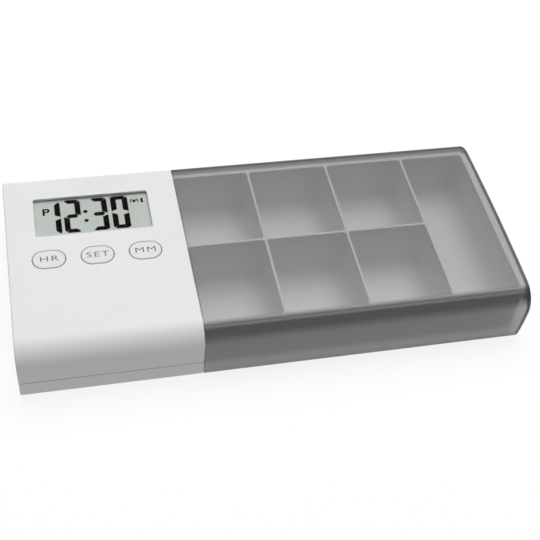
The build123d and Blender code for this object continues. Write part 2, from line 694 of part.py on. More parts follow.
with BuildPart() as positive_contact:
    with BuildSketch(Plane.XY.offset(CONTACT_BOTTOM)):
        with Locations((left_cell_x, rear_plate_y)):
            Rectangle(8.4, PLATE)
    extrude(amount=contact_height)
    with BuildSketch(Plane.XY.offset(CONTACT_TOP)):
        with Locations((left_cell_x, rear_plate_y)):
            Rectangle(TAIL_WIDTH, PLATE)
    extrude(amount=BOARD_BOTTOM - CONTACT_TOP)
positive_contact.part.label = "positive_contact"
export_step(positive_contact.part, "parts/positive_contact.step")

with BuildPart() as negative_contact:
    with BuildSketch(Plane.XY.offset(CONTACT_BOTTOM)):
        with Locations((right_cell_x, rear_plate_y)):
            Rectangle(8.4, PLATE)
    extrude(amount=contact_height)
    with BuildSketch(Plane.XY.offset(CONTACT_TOP)):
        with Locations((right_cell_x, rear_plate_y)):
            Rectangle(TAIL_WIDTH, PLATE)
    extrude(amount=BOARD_BOTTOM - CONTACT_TOP)
    add(rear_leaf)
negative_contact.part.label = "negative_contact"
export_step(negative_contact.part, "parts/negative_contact.step")

# ================================================================ screws
with BuildPart() as case_screws:
    with BuildSketch(Plane.XY.offset(CASE_SEAT_Z - CASE_HEAD)):
        for boss_x in CASE_SCREW_XS:
            with Locations((boss_x, CASE_SCREW_Y), (boss_x, -CASE_SCREW_Y)):
                Circle(CASE_HEAD_R)
    extrude(amount=CASE_HEAD)
    with BuildSketch(Plane.XY.offset(CASE_SEAT_Z - CASE_HEAD)):
        for boss_x in CASE_SCREW_XS:
            with Locations((boss_x, CASE_SCREW_Y), (boss_x, -CASE_SCREW_Y)):
                Circle(CASE_SCREW_R)
    extrude(amount=CASE_SCREW_TOP - CASE_SEAT_Z + CASE_HEAD)
    with BuildSketch(Plane.XY.offset(CASE_SEAT_Z - CASE_HEAD)):
        for boss_x in CASE_SCREW_XS:
            with Locations((boss_x, CASE_SCREW_Y), (boss_x, -CASE_SCREW_Y)):
                Rectangle(CASE_CROSS, CROSS_SLOT)
                Rectangle(CROSS_SLOT, CASE_CROSS)
    extrude(amount=CROSS_DEPTH, mode=Mode.SUBTRACT)
case_screws.part.label = "case_screws"
export_step(case_screws.part, "parts/case_screws.step")

with BuildPart() as board_screws:
    with BuildSketch(Plane.XY.offset(BOARD_BOTTOM - BOARD_SCREW_HEAD)):
        with Locations(*BOARD_SCREWS):
            Circle(BOARD_SCREW_HEAD_R)
    extrude(amount=BOARD_SCREW_HEAD)
    with BuildSketch(Plane.XY.offset(BOARD_BOTTOM - BOARD_SCREW_HEAD)):
        with Locations(*BOARD_SCREWS):
            Circle(BOARD_SCREW_R)
    extrude(amount=BOARD_SCREW_HEAD + BOARD_THICK + BOARD_BOSS_HOLE - 0.3)
    with BuildSketch(Plane.XY.offset(BOARD_BOTTOM - BOARD_SCREW_HEAD)):
        with Locations(*BOARD_SCREWS):
            Rectangle(BOARD_CROSS, CROSS_SLOT)
            Rectangle(CROSS_SLOT, BOARD_CROSS)
    extrude(amount=CROSS_DEPTH, mode=Mode.SUBTRACT)
board_screws.part.label = "board_screws"
export_step(board_screws.part, "parts/board_screws.step")

# ================================================================ tray
cell_floor = TRAY_BOTTOM + TRAY_FLOOR
cell_depth = TRAY_TOP - cell_floor
divider_xs = [DIVIDER_FIRST_X + i * DIVIDER_PITCH for i in range(DIVIDERS)]
row_lefts = [PLATE_RIGHT] + [x + DIVIDER_TOP / 2 for x in divider_xs]
row_rights = [x - DIVIDER_TOP / 2 for x in divider_xs] + [TRAY_RIGHT - TRAY_END_WALL]
half_width = TRAY_INNER_HALF - DIVIDER_TOP / 2
half_y = (TRAY_INNER_HALF + DIVIDER_TOP / 2) / 2

with BuildPart() as tray:
    # tub
    with BuildSketch(Plane.XY.offset(TRAY_BOTTOM)):
        with Locations(((PLATE_LEFT + TRAY_RIGHT) / 2, 0)):
            Rectangle(TRAY_RIGHT - PLATE_LEFT, 2 * (TRAY_INNER_HALF + TRAY_WALL))
    extrude(amount=TRAY_TOP - TRAY_BOTTOM)
    # flange just below the rim, with round outer edges that follow the sleeve's shoulders
    with BuildSketch(Plane.XY.offset(TRAY_TOP - TRAY_FLANGE_DROP - TRAY_FLANGE_THICK)):
        with Locations(((SLEEVE_LEFT + TRAY_RIGHT) / 2, 0)):
            Rectangle(TRAY_RIGHT - SLEEVE_LEFT, 2 * TRAY_FLANGE_HALF)
    extrude(amount=TRAY_FLANGE_THICK)
    long_edges = tray.edges().filter_by(Axis.X).sort_by(Axis.Y)
    fillet(
        [long_edges[:2].sort_by(Axis.Z)[-1], long_edges[-2:].sort_by(Axis.Z)[-1]],
        radius=TRAY_FLANGE_R,
    )
    # end plate trapped between the module's shells
    extrude(section(PLATE_LEFT, SHELL_WALL + PLATE_CLEARANCE), amount=PLATE_RIGHT - PLATE_LEFT)
    # three pairs of compartments
    with BuildSketch(Plane.XY.offset(TRAY_TOP)):
        for left, right in zip(row_lefts[:DIVIDERS], row_rights[:DIVIDERS]):
            with Locations(((left + right) / 2, half_y), ((left + right) / 2, -half_y)):
                RectangleRounded(right - left, half_width, CELL_CORNER)
    extrude(amount=-cell_depth, taper=CELL_DRAFT, mode=Mode.SUBTRACT)
    # one full-width compartment at the end
    with BuildSketch(Plane.XY.offset(TRAY_TOP)):
        with Locations(((row_lefts[-1] + row_rights[-1]) / 2, 0)):
            RectangleRounded(row_rights[-1] - row_lefts[-1], 2 * TRAY_INNER_HALF, CELL_CORNER)
    extrude(amount=-cell_depth, taper=CELL_DRAFT, mode=Mode.SUBTRACT)
    # rounded floor edges, so that the last pill comes out
    floor_edges = tray.edges().filter_by(lambda edge: abs(edge.center().Z - cell_floor) < 0.01)
    fillet(floor_edges, radius=CELL_FLOOR_R)
tray.part.label = "tray"
export_step(tray.part, "parts/tray.step")

# ================================================================ sleeve
def crowned_body(inset, end_x):
    """The sleeve's form set in by inset, with an end at end_x crowned across the width."""
    with BuildPart() as body:
        extrude(section(SLEEVE_LEFT, inset), amount=end_x - SLEEVE_LEFT)
        with BuildSketch(Plane.XY):
            with BuildLine():
                Polyline(
                    (end_x - SLEEVE_CROWN, -WIDTH / 2),
                    (SLEEVE_LEFT, -WIDTH / 2),
                    (SLEEVE_LEFT, WIDTH / 2),
                    (end_x - SLEEVE_CROWN, WIDTH / 2),
                )
                ThreePointArc(
                    (end_x - SLEEVE_CROWN, WIDTH / 2),
                    (end_x, 0),
                    (end_x - SLEEVE_CROWN, -WIDTH / 2),
                )
            make_face()
        extrude(amount=HEIGHT, mode=Mode.INTERSECT)
    return body.part


sleeve_outside = crowned_body(0, RIGHT_X)
sleeve_inside = crowned_body(SLEEVE_WALL, RIGHT_X - SLEEVE_END_WALL)
with BuildPart() as sleeve:
    add(sleeve_outside)
    fillet(sleeve.faces().sort_by(Axis.X)[-1].edges(), radius=SLEEVE_EDGE_R)
    fillet(sleeve.faces().sort_by(Axis.X)[0].edges(), radius=SLEEVE_MOUTH_R)
    add(sleeve_inside, mode=Mode.SUBTRACT)
sleeve.part.label = "sleeve"
export_step(sleeve.part, "parts/sleeve.step")
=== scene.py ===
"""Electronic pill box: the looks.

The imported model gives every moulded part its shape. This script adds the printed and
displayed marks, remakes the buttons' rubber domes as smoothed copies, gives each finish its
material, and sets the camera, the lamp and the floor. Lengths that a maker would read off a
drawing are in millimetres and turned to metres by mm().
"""

import math

import bpy
from mathutils import Matrix, Vector


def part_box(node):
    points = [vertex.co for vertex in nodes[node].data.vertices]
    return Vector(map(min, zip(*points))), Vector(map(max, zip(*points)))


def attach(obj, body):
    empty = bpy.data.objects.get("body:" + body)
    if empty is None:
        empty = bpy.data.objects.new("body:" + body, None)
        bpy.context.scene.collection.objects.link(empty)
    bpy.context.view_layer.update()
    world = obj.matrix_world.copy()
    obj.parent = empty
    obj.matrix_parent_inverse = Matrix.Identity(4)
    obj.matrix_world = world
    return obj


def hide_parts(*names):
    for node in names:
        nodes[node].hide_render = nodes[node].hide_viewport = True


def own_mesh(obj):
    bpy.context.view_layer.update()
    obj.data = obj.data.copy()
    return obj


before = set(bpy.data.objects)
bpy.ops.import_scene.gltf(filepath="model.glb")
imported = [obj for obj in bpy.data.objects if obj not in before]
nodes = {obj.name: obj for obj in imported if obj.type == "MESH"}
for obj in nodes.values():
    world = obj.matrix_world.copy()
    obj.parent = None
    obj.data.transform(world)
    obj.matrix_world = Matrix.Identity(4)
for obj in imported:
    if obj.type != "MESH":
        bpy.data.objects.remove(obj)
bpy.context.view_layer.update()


def mm(value):
    """Millimetres as metres."""
    return value / 1000


# ------------------------------------------------------------------ sizes, in millimetres
# The display's marks lie on the front of the display glass, under the lens.
GLASS_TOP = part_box("lcd_panel")[1][2] * 1000
MARK_DEPTH = 0.05
DIGIT_BOTTOM = 9.6
DIGIT_TOP = 23.7
DIGIT_WIDTH = 5.5
BAR_UPRIGHT = 1.8
BAR_LEVEL = 1.55
BAR_GAP = 0.13
BAR_CORNER = 0.9
# left edge of each digit, with the bars that are dark
DIGITS = {
    "hour_tens_digit": (-68.15, ("upper right", "lower right")),
    "hour_units_digit": (-61.75, ("top", "upper right", "middle", "lower left", "bottom")),
    "minute_tens_digit": (
        -53.25,
        ("top", "upper right", "middle", "lower right", "bottom"),
    ),
    "minute_units_digit": (
        -46.55,
        ("top", "upper left", "upper right", "lower left", "lower right", "bottom"),
    ),
}
COLON_X = -54.8
COLON_YS = (14.25, 18.15)
COLON_WIDTH = 1.5
COLON_SIDES = 8
COLON_SQUEEZE = 0.9

# The bell between its two sound arcs, at the display's upper right.
BELL_X = -38.9
BELL_Y = 21.0
BELL_R = 0.55
BELL_SKIRT_DROP = 0.2
BELL_SKIRT_FLARE = 1.25
ARC_R = 1.35
ARC_DROP = 0.1
# the arcs keep what lies this far out from the bell's middle, and not far below it
ARC_FROM = 0.75
ARC_INNER_SHARE = 0.74

# Printed marks on the three button caps, with each cap's middle.
CAP_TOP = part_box("mode_button")[1][2] * 1000
INK_PROUD = 0.005
CAP_Y = -1.5
CAP_MARKS = {
    "hour_button": ("hour_mark", "HR", -67.65),
    "mode_button": ("set_mark", "SET", -52.9),
    "minute_button": ("minute_mark", "MM", -38.15),
}
CAP_MARK_HEIGHT = 2.1

# Points of a mesh nearer than this are one point.
SAME_POINT = 0.001


# ------------------------------------------------------------------ modelling helpers
def clear_selection():
    """Back to object mode with nothing selected."""
    if bpy.context.object and bpy.context.object.mode != "OBJECT":
        bpy.ops.object.mode_set(mode="OBJECT")
    bpy.ops.object.select_all(action="DESELECT")


def only(piece):
    """That piece alone selected and active."""
    clear_selection()
    piece.select_set(True)
    bpy.context.view_layer.objects.active = piece


def settle(piece):
    """The piece's place goes into its mesh, so that its object sits at the origin."""
    only(piece)
    bpy.ops.object.transform_apply(location=True, rotation=True, scale=True)


def joined(pieces, name):
    """Several meshes made one piece."""
    clear_selection()
    for piece in pieces:
        piece.select_set(True)
    bpy.context.view_layer.objects.active = pieces[0]
    bpy.ops.object.join()
    whole = bpy.context.object
    whole.name = name
    whole.data.name = name
    settle(whole)
    return whole


def copy_of(piece, name):
    """Another of the same piece, with its own mesh."""
    twin = piece.copy()
    twin.data = piece.data.copy()
    twin.name = name
    bpy.context.collection.objects.link(twin)
    return twin


def finished(piece, material, body):
    """Gives a piece its finish and the body that it moves with."""
    piece.data.materials.clear()
    piece.data.materials.append(material)
    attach(piece, body)


# ------------------------------------------------------------------ material helpers
def linear(hex_colour):
    """An sRGB hex colour as the linear colour that the shaders take."""
    channels = [int(hex_colour[i : i + 2], 16) / 255 for i in (1, 3, 5)]
    flat = [c / 12.92 if c <= 0.04045 else ((c + 0.055) / 1.055) ** 2.4 for c in channels]
    return (*flat, 1.0)


def add(tree, kind, values=None, links=None, **settings):
    """Adds one node to a material, with its settings, plain values and incoming links."""
    made = tree.nodes.new(kind)
    for name, setting in settings.items():
        setattr(made, name, setting)
    for socket, value in (values or {}).items():
        made.inputs[socket].default_value = value
    for socket, source in (links or {}).items():
        tree.links.new(source, made.inputs[socket])
    return made


def new_material(name):
    """An empty node material and its output."""
    material = bpy.data.materials.new(name)
    material.use_nodes = True
    material.node_tree.nodes.clear()
    out = material.node_tree.nodes.new("ShaderNodeOutputMaterial")
    return material, material.node_tree, out


def moulded(name, pale, dark, roughness, grain, grain_depth, blotch, **extra):
    """Moulded plastic or rubber.

    pale and dark are the ends of a faint drift of tone over blotches of the given size.
    grain is the size of the mould's texture and grain_depth the height of its bumps. All
    three are in millimetres. A real mould's texture is nearer a tenth of a millimetre, and
    it is drawn as coarse as it needs to be to break up the shine.
    """
    material, tree, out = new_material(name)
    place = add(tree, "ShaderNodeTexCoord").outputs["Object"]
    drift = add(
        tree,
        "ShaderNodeTexNoise",
        {"Scale": 1 / mm(blotch), "Detail": 2.0, "Roughness": 0.5},
        {"Vector": place},
    )
    tone = add(tree, "ShaderNodeValToRGB", links={"Fac": drift.outputs["Fac"]})
    tone.color_ramp.elements[0].position = 0.3
    tone.color_ramp.elements[0].color = linear(dark)
    tone.color_ramp.elements[1].position = 0.7
    tone.color_ramp.elements[1].color = linear(pale)
    pits = add(
        tree,
        "ShaderNodeTexNoise",
        {"Scale": 1 / mm(grain), "Detail": 3.0, "Roughness": 0.6},
        {"Vector": place},
    )
    shine = add(
        tree,
        "ShaderNodeMapRange",
        {"To Min": roughness - 0.05, "To Max": roughness + 0.05},
        {"Value": pits.outputs["Fac"]},
    )
    relief = add(
        tree,
        "ShaderNodeBump",
        {"Strength": 1.0, "Distance": mm(grain_depth)},
        {"Height": pits.outputs["Fac"]},
    )
    surface = add(
        tree,
        "ShaderNodeBsdfPrincipled",
        extra,
        {
            "Base Color": tone.outputs["Color"],
            "Roughness": shine.outputs["Result"],
            "Normal": relief.outputs["Normal"],
        },
    )
    tree.links.new(surface.outputs["BSDF"], out.inputs["Surface"])
    return material


def metal(name, colour, stain, roughness, streak, stretch):
    """Bare metal with fine streaks along one axis, from drawing or plating.

    streak is their width in millimetres, and stretch packs them closer along each axis.
    """
    material, tree, out = new_material(name)
    place = add(tree, "ShaderNodeTexCoord").outputs["Object"]
    drawn = add(tree, "ShaderNodeMapping", {"Scale": stretch}, {"Vector": place})
    lines = add(
        tree,
        "ShaderNodeTexNoise",
        {"Scale": 1 / mm(streak), "Detail": 4.0, "Roughness": 0.6},
        {"Vector": drawn.outputs["Vector"]},
    )
    tone = add(
        tree,
        "ShaderNodeMix",
        {6: linear(stain), 7: linear(colour)},
        {0: lines.outputs["Fac"]},
        data_type="RGBA",
    )
    shine = add(
        tree,
        "ShaderNodeMapRange",
        {"To Min": roughness - 0.08, "To Max": roughness + 0.08},
        {"Value": lines.outputs["Fac"]},
    )
    surface = add(
        tree,
        "ShaderNodeBsdfPrincipled",
        {"Metallic": 1.0},
        {"Base Color": tone.outputs[2], "Roughness": shine.outputs["Result"]},
    )
    tree.links.new(surface.outputs["BSDF"], out.inputs["Surface"])
    return material


# ------------------------------------------------------------------ clear finishes
def let_light_in(tree, wall, stand_in_colour):
    """The clear wall as the eye meets it, with a plain stand-in for light on its way in.

    Light that comes from a lamp, or from a matt surface behind the wall, passes straight
    through, so that it is counted once and what is inside is as bright as its colour says.
    """
    ray = add(tree, "ShaderNodeLightPath")
    open_to_lamps = add(tree, "ShaderNodeBsdfTransparent", {"Color": linear(stand_in_colour)})
    for_matt_surfaces = add(
        tree,
        "ShaderNodeMixShader",
        links={
            0: ray.outputs["Is Diffuse Ray"],
            1: wall.outputs["BSDF"],
            2: open_to_lamps.outputs["BSDF"],
        },
    )
    for_lamps = add(
        tree,
        "ShaderNodeMixShader",
        links={
            0: ray.outputs["Is Shadow Ray"],
            1: for_matt_surfaces.outputs["Shader"],
            2: open_to_lamps.outputs["BSDF"],
        },
    )
    return for_lamps.outputs["Shader"]


CLEAR_STYRENE = "#fafafb"
PAINTED_SHADE_GREY = "#4c4c4e"
CLEAR_ACRYLIC = "#fafbfa"
# middle of the curve that the sleeve's long upper bends follow, in millimetres
BEND_Y = 29.4
BEND_Z = 14.4
# how far round a bend, from the top face to the side, and how deep the painted shade is there
BEND_PAINTED_SHADE = ((0.12, 0.0), (0.24, 1.0), (0.58, 1.0), (0.85, 0.0))


def round_the_bend(tree, place):
    """How far round the sleeve's long bends a point is: 0 on top, 1 on the side."""
    axes = add(tree, "ShaderNodeSeparateXYZ", links={"Vector": place})
    side = add(tree, "ShaderNodeMath", links={0: axes.outputs["Y"]}, operation="ABSOLUTE")
    outwards = add(
        tree, "ShaderNodeMath", {1: mm(BEND_Y)}, {0: side.outputs[0]}, operation="SUBTRACT"
    )
    upwards = add(
        tree, "ShaderNodeMath", {1: mm(BEND_Z)}, {0: axes.outputs["Z"]}, operation="SUBTRACT"
    )
    turn = add(
        tree,
        "ShaderNodeMath",
        links={0: outwards.outputs[0], 1: upwards.outputs[0]},
        operation="ARCTAN2",
    )
    share = add(
        tree,
        "ShaderNodeMapRange",
        {"From Min": 0.0, "From Max": math.pi / 2},
        {"Value": turn.outputs[0]},
    )
    return share.outputs["Result"]


def smoked_plastic():
    """The sleeve: smoke-grey clear styrene with a fine matt texture from the mould.

    Things just behind the wall show nearly sharp and things further off go soft. Two dark
    bands of painted shade run along the box, round its long upper bends, painted darker
    still where a bend is seen edge on. Styrene's own index is near 1.57. A lower one keeps
    the lamp's glare off the bends. The texture is drawn coarser than the real one, at 0.35 mm.
    """
    material, tree, out = new_material("smoked_matt_styrene")
    place = add(tree, "ShaderNodeTexCoord").outputs["Object"]
    mould_texture = add(
        tree,
        "ShaderNodeTexNoise",
        {"Scale": 1 / mm(0.35), "Detail": 2.0, "Roughness": 0.6},
        {"Vector": place},
    )
    matt = add(
        tree,
        "ShaderNodeMapRange",
        {"To Min": 0.25, "To Max": 0.33},
        {"Value": mould_texture.outputs["Fac"]},
    )
    # painted shade: a dark band set by place round the sleeve's long upper bends, not the
    # smoke's own tint
    thick = add(tree, "ShaderNodeValToRGB", links={"Fac": round_the_bend(tree, place)})
    stops = thick.color_ramp.elements
    for index, (turned, level) in enumerate(BEND_PAINTED_SHADE):
        stop = stops[index] if index < 2 else stops.new(turned)
        stop.position = turned
        stop.color = (level, level, level, 1.0)
    # the painted shade deepens again where the bend is seen edge on
    edge_on = add(tree, "ShaderNodeLayerWeight", {"Blend": 0.5})
    edge_on_painted_shade = add(
        tree,
        "ShaderNodeMapRange",
        {"From Min": 0.32, "From Max": 0.48, "To Min": 0.62, "To Max": 1.0},
        {"Value": edge_on.outputs["Facing"]},
    )
    # painted shade: the band by place times its edge-on deepening
    depth = add(
        tree,
        "ShaderNodeMath",
        links={0: thick.outputs["Color"], 1: edge_on_painted_shade.outputs["Result"]},
        operation="MULTIPLY",
    )
    # the wall's tint runs from clear styrene to the grey of the painted shade
    painted_shade_tint = add(
        tree,
        "ShaderNodeMix",
        {6: linear(CLEAR_STYRENE), 7: linear(PAINTED_SHADE_GREY)},
        {0: depth.outputs[0]},
        data_type="RGBA",
    )
    wall = add(
        tree,
        "ShaderNodeBsdfPrincipled",
        {"IOR": 1.2, "Transmission Weight": 0.94},
        {
            "Base Color": painted_shade_tint.outputs[2],
            "Roughness": matt.outputs["Result"],
        },
    )
    tree.links.new(let_light_in(tree, wall, CLEAR_STYRENE), out.inputs["Surface"])
    # the smoke in the plastic: a 1.5 mm wall lets nearly four fifths of the light through
    smoke_in_wall = add(
        tree,
        "ShaderNodeVolumeAbsorption",
        {"Color": (0.0, 0.0, 0.0, 1.0), "Density": 165.0},
    )
    tree.links.new(smoke_in_wall.outputs["Volume"], out.inputs["Volume"])
    return material


def clear_lens():
    """The display's lens: clear acrylic with a coat that takes most of its shine.

    Its faces swell and sink by a hair over 9 mm or so, as moulded lenses do. Acrylic's own
    index is 1.49. A lower one stands for the coat, and keeps the segments as dark behind it
    as they look on the real thing.
    """
    material, tree, out = new_material("clear_polished_acrylic")
    place = add(tree, "ShaderNodeTexCoord").outputs["Object"]
    swell = add(
        tree,
        "ShaderNodeTexNoise",
        {"Scale": 1 / mm(9), "Detail": 1.0},
        {"Vector": place},
    )
    relief = add(
        tree,
        "ShaderNodeBump",
        {"Strength": 1.0, "Distance": mm(0.002)},
        {"Height": swell.outputs["Fac"]},
    )
    wall = add(
        tree,
        "ShaderNodeBsdfPrincipled",
        {
            "Base Color": linear(CLEAR_ACRYLIC),
            "Roughness": 0.02,
            "IOR": 1.1,
            "Transmission Weight": 1.0,
        },
        {"Normal": relief.outputs["Normal"]},
    )
    tree.links.new(let_light_in(tree, wall, CLEAR_ACRYLIC), out.inputs["Surface"])
    return material


# ------------------------------------------------------------------ solid finishes
# where along a cell the dark film ends and the copper band begins, in millimetres
FILM_DARK_END = 8.0
FILM_COPPER_START = 8.2


def cell_jacket():
    """A dry cell: printed plastic film shrunk over a steel can, with a slight metal shine.

    The film is near black over two thirds of the length and copper over the rest.
    """
    material, tree, out = new_material("shrunk_cell_film")
    place = add(tree, "ShaderNodeTexCoord").outputs["Object"]
    axes = add(tree, "ShaderNodeSeparateXYZ", links={"Vector": place})
    drift = add(
        tree,
        "ShaderNodeTexNoise",
        {"Scale": 1 / mm(6), "Detail": 2.0},
        {"Vector": place},
    )
    band = add(
        tree,
        "ShaderNodeMapRange",
        {"From Min": mm(FILM_DARK_END), "From Max": mm(FILM_COPPER_START)},
        {"Value": axes.outputs["Y"]},
    )
    film = add(
        tree,
        "ShaderNodeMix",
        {6: linear("#27282b"), 7: linear("#b4713c")},
        {0: band.outputs["Result"]},
        data_type="RGBA",
    )
    worn = add(
        tree,
        "ShaderNodeMapRange",
        {"To Min": 0.24, "To Max": 0.36},
        {"Value": drift.outputs["Fac"]},
    )
    surface = add(
        tree,
        "ShaderNodeBsdfPrincipled",
        {"Metallic": 0.35, "Coat Weight": 0.4},
        {"Base Color": film.outputs[2], "Roughness": worn.outputs["Result"]},
    )
    tree.links.new(surface.outputs["BSDF"], out.inputs["Surface"])
    return material


# satin ABS shells: an even white whose highlights are broad and soft
white_abs = moulded(
    "white_satin_abs",
    pale="#f3f3f3",
    dark="#efefef",
    roughness=0.46,
    grain=0.4,
    grain_depth=0.004,
    blotch=25,
)
# ABS button caps from a finer mould: a touch greyer and glossier than the shells
cap_abs = moulded(
    "white_button_abs",
    pale="#eeeeee",
    dark="#eaeaea",
    roughness=0.42,
    grain=0.4,
    grain_depth=0.003,
    blotch=8,
)
# natural polypropylene tray: milky off-white with a waxy sheen
tray_plastic = moulded(
    "natural_tray_polypropylene",
    pale="#e8e8e8",
    dark="#e3e3e4",
    roughness=0.38,
    grain=0.5,
    grain_depth=0.003,
    blotch=30,
)
# the display's polarising film: a flat grey-green with a faint gloss
display_grey = moulded(
    "display_polariser",
    pale="#c2c7c3",
    dark="#bec3bf",
    roughness=0.30,
    grain=0.15,
    grain_depth=0.0005,
    blotch=12,
)
# liquid crystal turned dark under the film: near black, with no highlight of its own
segment_ink = moulded(
    "dark_liquid_crystal",
    pale="#140c0b",
    dark="#110a09",
    roughness=0.5,
    grain=0.3,
    grain_depth=0.0005,
    blotch=5,
    **{"Specular IOR Level": 0.0},
)
# pad-printed ink: a dead matt mid grey
print_ink = moulded(
    "grey_pad_print",
    pale="#727274",
    dark="#6a6a6c",
    roughness=0.6,
    grain=0.15,
    grain_depth=0.0005,
    blotch=1,
)
# black ABS display frame: dark and dull, so that no light shows round the glass
black_abs = moulded(
    "black_moulded_abs",
    pale="#2a2a2b",
    dark="#232324",
    roughness=0.5,
    grain=0.4,
    grain_depth=0.004,
    blotch=10,
)
# moulded silicone domes: a matt, slightly clouded grey
grey_silicone = moulded(
    "grey_silicone",
    pale="#9b9c9e",
    dark="#8f9092",
    roughness=0.6,
    grain=0.3,
    grain_depth=0.004,
    blotch=4,
)
# layered conductive silicone strips: dusty pink and matt
pink_silicone = moulded(
    "pink_conductive_silicone",
    pale="#d9a0a0",
    dark="#c98f8f",
    roughness=0.55,
    grain=0.2,
    grain_depth=0.003,
    blotch=4,
)
# carbon-filled rubber pills: near black with no shine
carbon_rubber = moulded(
    "black_carbon_rubber",
    pale="#1f1f20",
    dark="#161617",
    roughness=0.75,
    grain=0.2,
    grain_depth=0.006,
    blotch=2,
)
# lacquered circuit board: an even green with a wet gloss
solder_mask = moulded(
    "green_solder_mask",
    pale="#1f6b3c",
    dark="#195c33",
    roughness=0.32,
    grain=0.6,
    grain_depth=0.002,
    blotch=6,
)
# fired ceramic capacitors: a dull tan
ceramic = moulded(
    "tan_chip_ceramic",
    pale="#b58f62",
    dark="#a57f54",
    roughness=0.5,
    grain=0.1,
    grain_depth=0.002,
    blotch=1,
)
# drop of epoxy over the clock chip: black with a tight, uneven highlight
epoxy = moulded(
    "black_glob_epoxy",
    pale="#151516",
    dark="#101011",
    roughness=0.22,
    grain=1.2,
    grain_depth=0.01,
    blotch=3,
)
# nickel-plated steel sheet, wire and screws: bright, with faint lines up its height
steel = metal(
    "nickelled_steel",
    colour="#c9c8c5",
    stain="#a9a8a5",
    roughness=0.30,
    streak=0.3,
    stretch=(1.0, 1.0, 12.0),
)
# rolled brass alarm disc: warm yellow with faint rolling lines
brass = metal(
    "rolled_brass",
    colour="#d9b562",
    stain="#b7924a",
    roughness=0.32,
    streak=0.3,
    stretch=(1.0, 12.0, 1.0),
)
smoke = smoked_plastic()
acrylic = clear_lens()
cell_film = cell_jacket()

NODE_FINISHES = {
    "upper_housing": white_abs,
    "lower_cover": white_abs,
    "battery_door": white_abs,
    "hour_button": cap_abs,
    "mode_button": cap_abs,
    "minute_button": cap_abs,
    "tray": tray_plastic,
    "sleeve": smoke,
    "display_lens": acrylic,
    "lcd_panel": display_grey,
    "lcd_frame": black_abs,
    "connector_strips": pink_silicone,
    "circuit_board": solder_mask,
    "clock_chip": epoxy,
    "crystal": steel,
    "capacitors": ceramic,
    "hour_dome": grey_silicone,
    "mode_dome": grey_silicone,
    "minute_dome": grey_silicone,
    "hour_contact": carbon_rubber,
    "mode_contact": carbon_rubber,
    "minute_contact": carbon_rubber,
    "piezo_disc": brass,
    "buzzer_springs": steel,
    "battery_cell_left": cell_film,
    "battery_cell_right": cell_film,
    "bridge_contact": steel,
    "positive_contact": steel,
    "negative_contact": steel,
    "case_screws": steel,
    "board_screws": steel,
}
for node_name, finish in NODE_FINISHES.items():
    for material_slot in nodes[node_name].material_slots:
        material_slot.material = finish


# ------------------------------------------------------------------ rubber domes
DOME_PRESSES = {
    "hour_dome": "hour_press",
    "mode_dome": "mode_press",
    "minute_dome": "minute_press",
}


def soft_dome(dome_name):
    """A button's return spring: a smoothed copy of the moulded dome, in place of the imported
    one.
    """
    dome = bpy.data.objects.new(f"soft_{dome_name}", nodes[dome_name].data.copy())
    bpy.context.collection.objects.link(dome)
    only(dome)
    bpy.ops.mesh.customdata_custom_splitnormals_clear()
    bpy.ops.object.mode_set(mode="EDIT")
    bpy.ops.mesh.select_all(action="SELECT")
    bpy.ops.mesh.remove_doubles(threshold=mm(SAME_POINT))
    bpy.ops.object.mode_set(mode="OBJECT")
    bpy.ops.object.shade_smooth_by_angle(angle=math.radians(40))
    finished(dome, grey_silicone, "module_and_tray")
    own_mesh(dome)
    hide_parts(dome_name)


for dome_name, press_name in DOME_PRESSES.items():
    soft_dome(dome_name)


# ------------------------------------------------------------------ display marks
def on_display(mark):
    """A dark mark on the display glass, which stays with the module."""
    finished(mark, segment_ink, "module_and_tray")


def select_points(piece, test):
    """Selects the points of the piece that pass a test of their place."""
    bpy.ops.object.mode_set(mode="OBJECT")
    for polygon in piece.data.polygons:
        polygon.select = False
    for edge in piece.data.edges:
        edge.select = False
    for vertex in piece.data.vertices:
        vertex.select = test(vertex.co)
    bpy.ops.object.mode_set(mode="EDIT")


def thicken(piece):
    """Extrudes a flat mark upwards into a thin solid."""
    only(piece)
    bpy.ops.object.mode_set(mode="EDIT")
    bpy.ops.mesh.select_all(action="SELECT")
    bpy.ops.mesh.extrude_region_move(TRANSFORM_OT_translate={"value": (0, 0, mm(MARK_DEPTH))})
    bpy.ops.mesh.select_all(action="SELECT")
    bpy.ops.mesh.normals_make_consistent(inside=False)
    bpy.ops.object.mode_set(mode="OBJECT")


def flat_strip(name, length, thick):
    """A flat strip along X, round the origin, left in edit mode for its ends to be cut."""
    clear_selection()
    bpy.ops.mesh.primitive_plane_add(size=1.0)
    strip = bpy.context.object
    strip.name = name
    strip.scale = (mm(length), mm(thick), 1.0)
    settle(strip)
    only(strip)
    bpy.ops.object.mode_set(mode="EDIT")
    return strip


def cut_corner(place, facing):
    """Cuts off what lies beyond a place, in millimetres, on the side that facing points to."""
    bpy.ops.mesh.select_all(action="SELECT")
    bpy.ops.mesh.bisect(
        plane_co=[mm(value) for value in place], plane_no=facing, clear_outer=True
    )


def outer_bar(name, length, thick, inner_cut_start, inner_cut_end, both_corners):
    """One bar of a digit's outline, with its outer edge at the top and its ends mitred.

    The inner cuts are how far the ends of the inner edge are drawn in. The outer edge loses
    its left corner, and its right one too where both_corners says so.
    """
    bar = flat_strip(name, length, thick)
    select_points(bar, lambda co: co.y < 0 and co.x < 0)
    bpy.ops.transform.translate(value=(mm(inner_cut_start), 0, 0))
    select_points(bar, lambda co: co.y < 0 and co.x > 0)
    bpy.ops.transform.translate(value=(-mm(inner_cut_end), 0, 0))
    cut_corner((BAR_CORNER - length / 2, thick / 2, 0), (-1, 1, 0))
    if both_corners:
        cut_corner((length / 2 - BAR_CORNER, thick / 2, 0), (1, 1, 0))
    bpy.ops.object.mode_set(mode="OBJECT")
    thicken(bar)
    return bar


